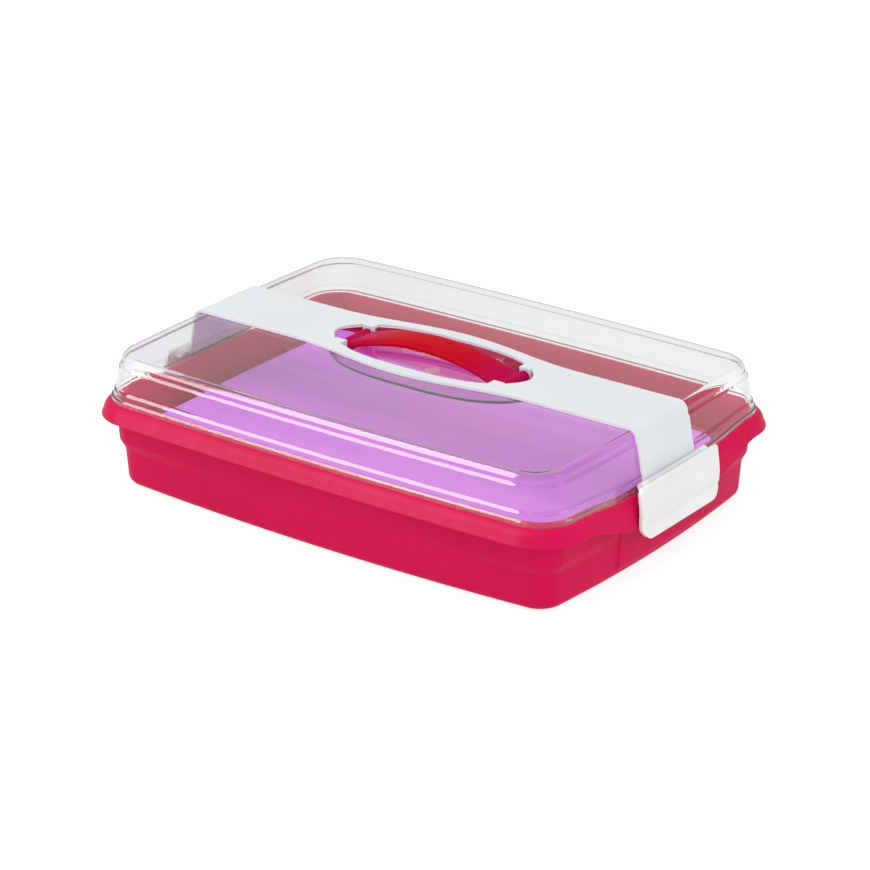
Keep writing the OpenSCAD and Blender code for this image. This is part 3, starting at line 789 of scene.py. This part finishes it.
def seen_white(tree, straight, mirrored, diffuse):
    """A strength by the kind of ray: straight or through clear plastic, mirrored, or scattered.
    A ray mirrored inside clear plastic counts as mirrored, though it leaves through the outer face."""
    rays = add_node(tree, "ShaderNodeLightPath").outputs
    clear = add_node(tree, "ShaderNodeMath", {0: rays["Is Camera Ray"], 1: rays["Is Transmission Ray"]},
                     operation="MAXIMUM").outputs["Value"]
    glints = add_node(tree, "ShaderNodeMath", {0: rays["Glossy Depth"], 1: rays["Is Glossy Ray"]},
                      operation="MAXIMUM", use_clamp=True).outputs["Value"]
    through = add_node(tree, "ShaderNodeMath", {0: clear, 1: glints}, operation="SUBTRACT",
                       use_clamp=True).outputs["Value"]
    base = spread(tree, glints, diffuse, mirrored, 0, 1)
    return add_node(tree, "ShaderNodeMapRange", {"Value": through, "To Min": base, "To Max": straight}
                    ).outputs["Result"]


BOUNCED_SHARE = 0.55             # how much of the floor's glow reaches matt faces


def pale_floor(setting):
    """A white floor whose shadow stays faint, as in a product picture."""
    form = bmesh.new()
    bmesh.ops.create_grid(form, x_segments=1, y_segments=1, size=setting.floor / 2)
    mesh = bpy.data.meshes.new("studio_floor")
    form.to_mesh(mesh)
    form.free()
    made, tree, output, place = new_material("matt_white_paper")
    glow = add_node(tree, "ShaderNodeEmission", {
        "Color": linear("#FFFFFF"),
        "Strength": seen_white(tree, setting.floor_glow, setting.mirrored_floor,
                               setting.floor_glow * BOUNCED_SHARE)})
    paper = add_node(tree, "ShaderNodeBsdfDiffuse", {
        "Color": shade(tree, noise(tree, place, 400, 2), "#AFB0B0", "#B1B1B2")})
    both = add_node(tree, "ShaderNodeAddShader", {0: glow.outputs["Emission"], 1: paper.outputs["BSDF"]})
    tree.links.new(both.outputs["Shader"], output.inputs["Surface"])
    mesh.materials.append(made)
    floor = bpy.data.objects.new("studio_floor", mesh)
    bpy.context.scene.collection.objects.link(floor)
    floor.location.z = -0.3 * MM


def pale_sky(context, setting):
    """Even white light, which the camera and clear or glossy things see as plain white."""
    world = bpy.data.worlds.new("studio_white")
    world.use_nodes = True
    tree = world.node_tree
    tree.nodes.clear()
    back = add_node(tree, "ShaderNodeBackground", {
        "Color": linear("#FFFFFF"), "Strength": seen_white(tree, 1.0, setting.mirrored, setting.sky)})
    output = add_node(tree, "ShaderNodeOutputWorld")
    tree.links.new(back.outputs["Background"], output.inputs["Surface"])
    context.scene.world = world


def soft_lamp(context, name, place, target, size, radiance, lights_matt):
    """A rectangular softbox of an even radiance, aimed at a point."""
    lamp = bpy.data.lights.new(name, "AREA")
    lamp.shape = "RECTANGLE"
    lamp.size, lamp.size_y = size
    lamp.energy = radiance * math.pi * size[0] * size[1]
    made = bpy.data.objects.new(name, lamp)
    made.location = place
    made.rotation_euler = (Vector(target) - Vector(place)).to_track_quat("-Z", "Y").to_euler()
    made.visible_diffuse = lights_matt
    made.visible_camera = made.visible_transmission = False
    context.scene.collection.objects.link(made)


def photo_camera(context, setting):
    """The camera at the photograph's angle, distance and lens."""
    camera = bpy.data.cameras.new("photo_camera")
    camera.lens = setting.lens
    camera.sensor_width = 36
    camera.clip_end = 30
    made = bpy.data.objects.new("photo_camera", camera)
    flat = math.cos(setting.elevation)
    back = Vector((math.sin(setting.azimuth) * flat, -math.cos(setting.azimuth) * flat,
                   math.sin(setting.elevation)))
    made.location = Vector(setting.target) + back * setting.distance
    made.rotation_euler = (-back).to_track_quat("-Z", "Y").to_euler()
    context.scene.collection.objects.link(made)
    context.scene.camera = made


class CARRIER_PT_panel(bpy.types.Panel):
    """Lists the carrier's settings and the steps that build it"""
    bl_label = "Cake Carrier"
    bl_idname = "CARRIER_PT_panel"
    bl_space_type = "VIEW_3D"
    bl_region_type = "UI"
    bl_category = "Cake Carrier"

    def draw(self, context):
        for name, group in LOOKS.items():
            box = self.layout.box()
            for key in group.__annotations__:
                box.prop(look(context, name), key)
        for operator in OPERATORS:
            self.layout.operator(operator.bl_idname)


OPERATORS = (CARRIER_OT_stage, CARRIER_OT_tray, CARRIER_OT_plate, CARRIER_OT_lid, CARRIER_OT_strap,
             CARRIER_OT_clips, CARRIER_OT_handle, CARRIER_OT_pins)
CLASSES = tuple(LOOKS.values()) + OPERATORS + (CARRIER_PT_panel,)


def register():
    """Registers the classes and hangs the settings on the scene."""
    for cls in CLASSES:
        bpy.utils.register_class(cls)
    for name, group in LOOKS.items():
        setattr(bpy.types.Scene, name, PointerProperty(type=group))


def unregister():
    """Takes the settings and the classes away again."""
    for name in LOOKS:
        delattr(bpy.types.Scene, name)
    for cls in reversed(CLASSES):
        bpy.utils.unregister_class(cls)


def main():
    """Builds the stage and every piece."""
    register()
    for step in OPERATORS:
        call = bpy.ops
        for part in step.bl_idname.split("."):
            call = getattr(call, part)
        call()


if __name__ == "__main__":
    main()
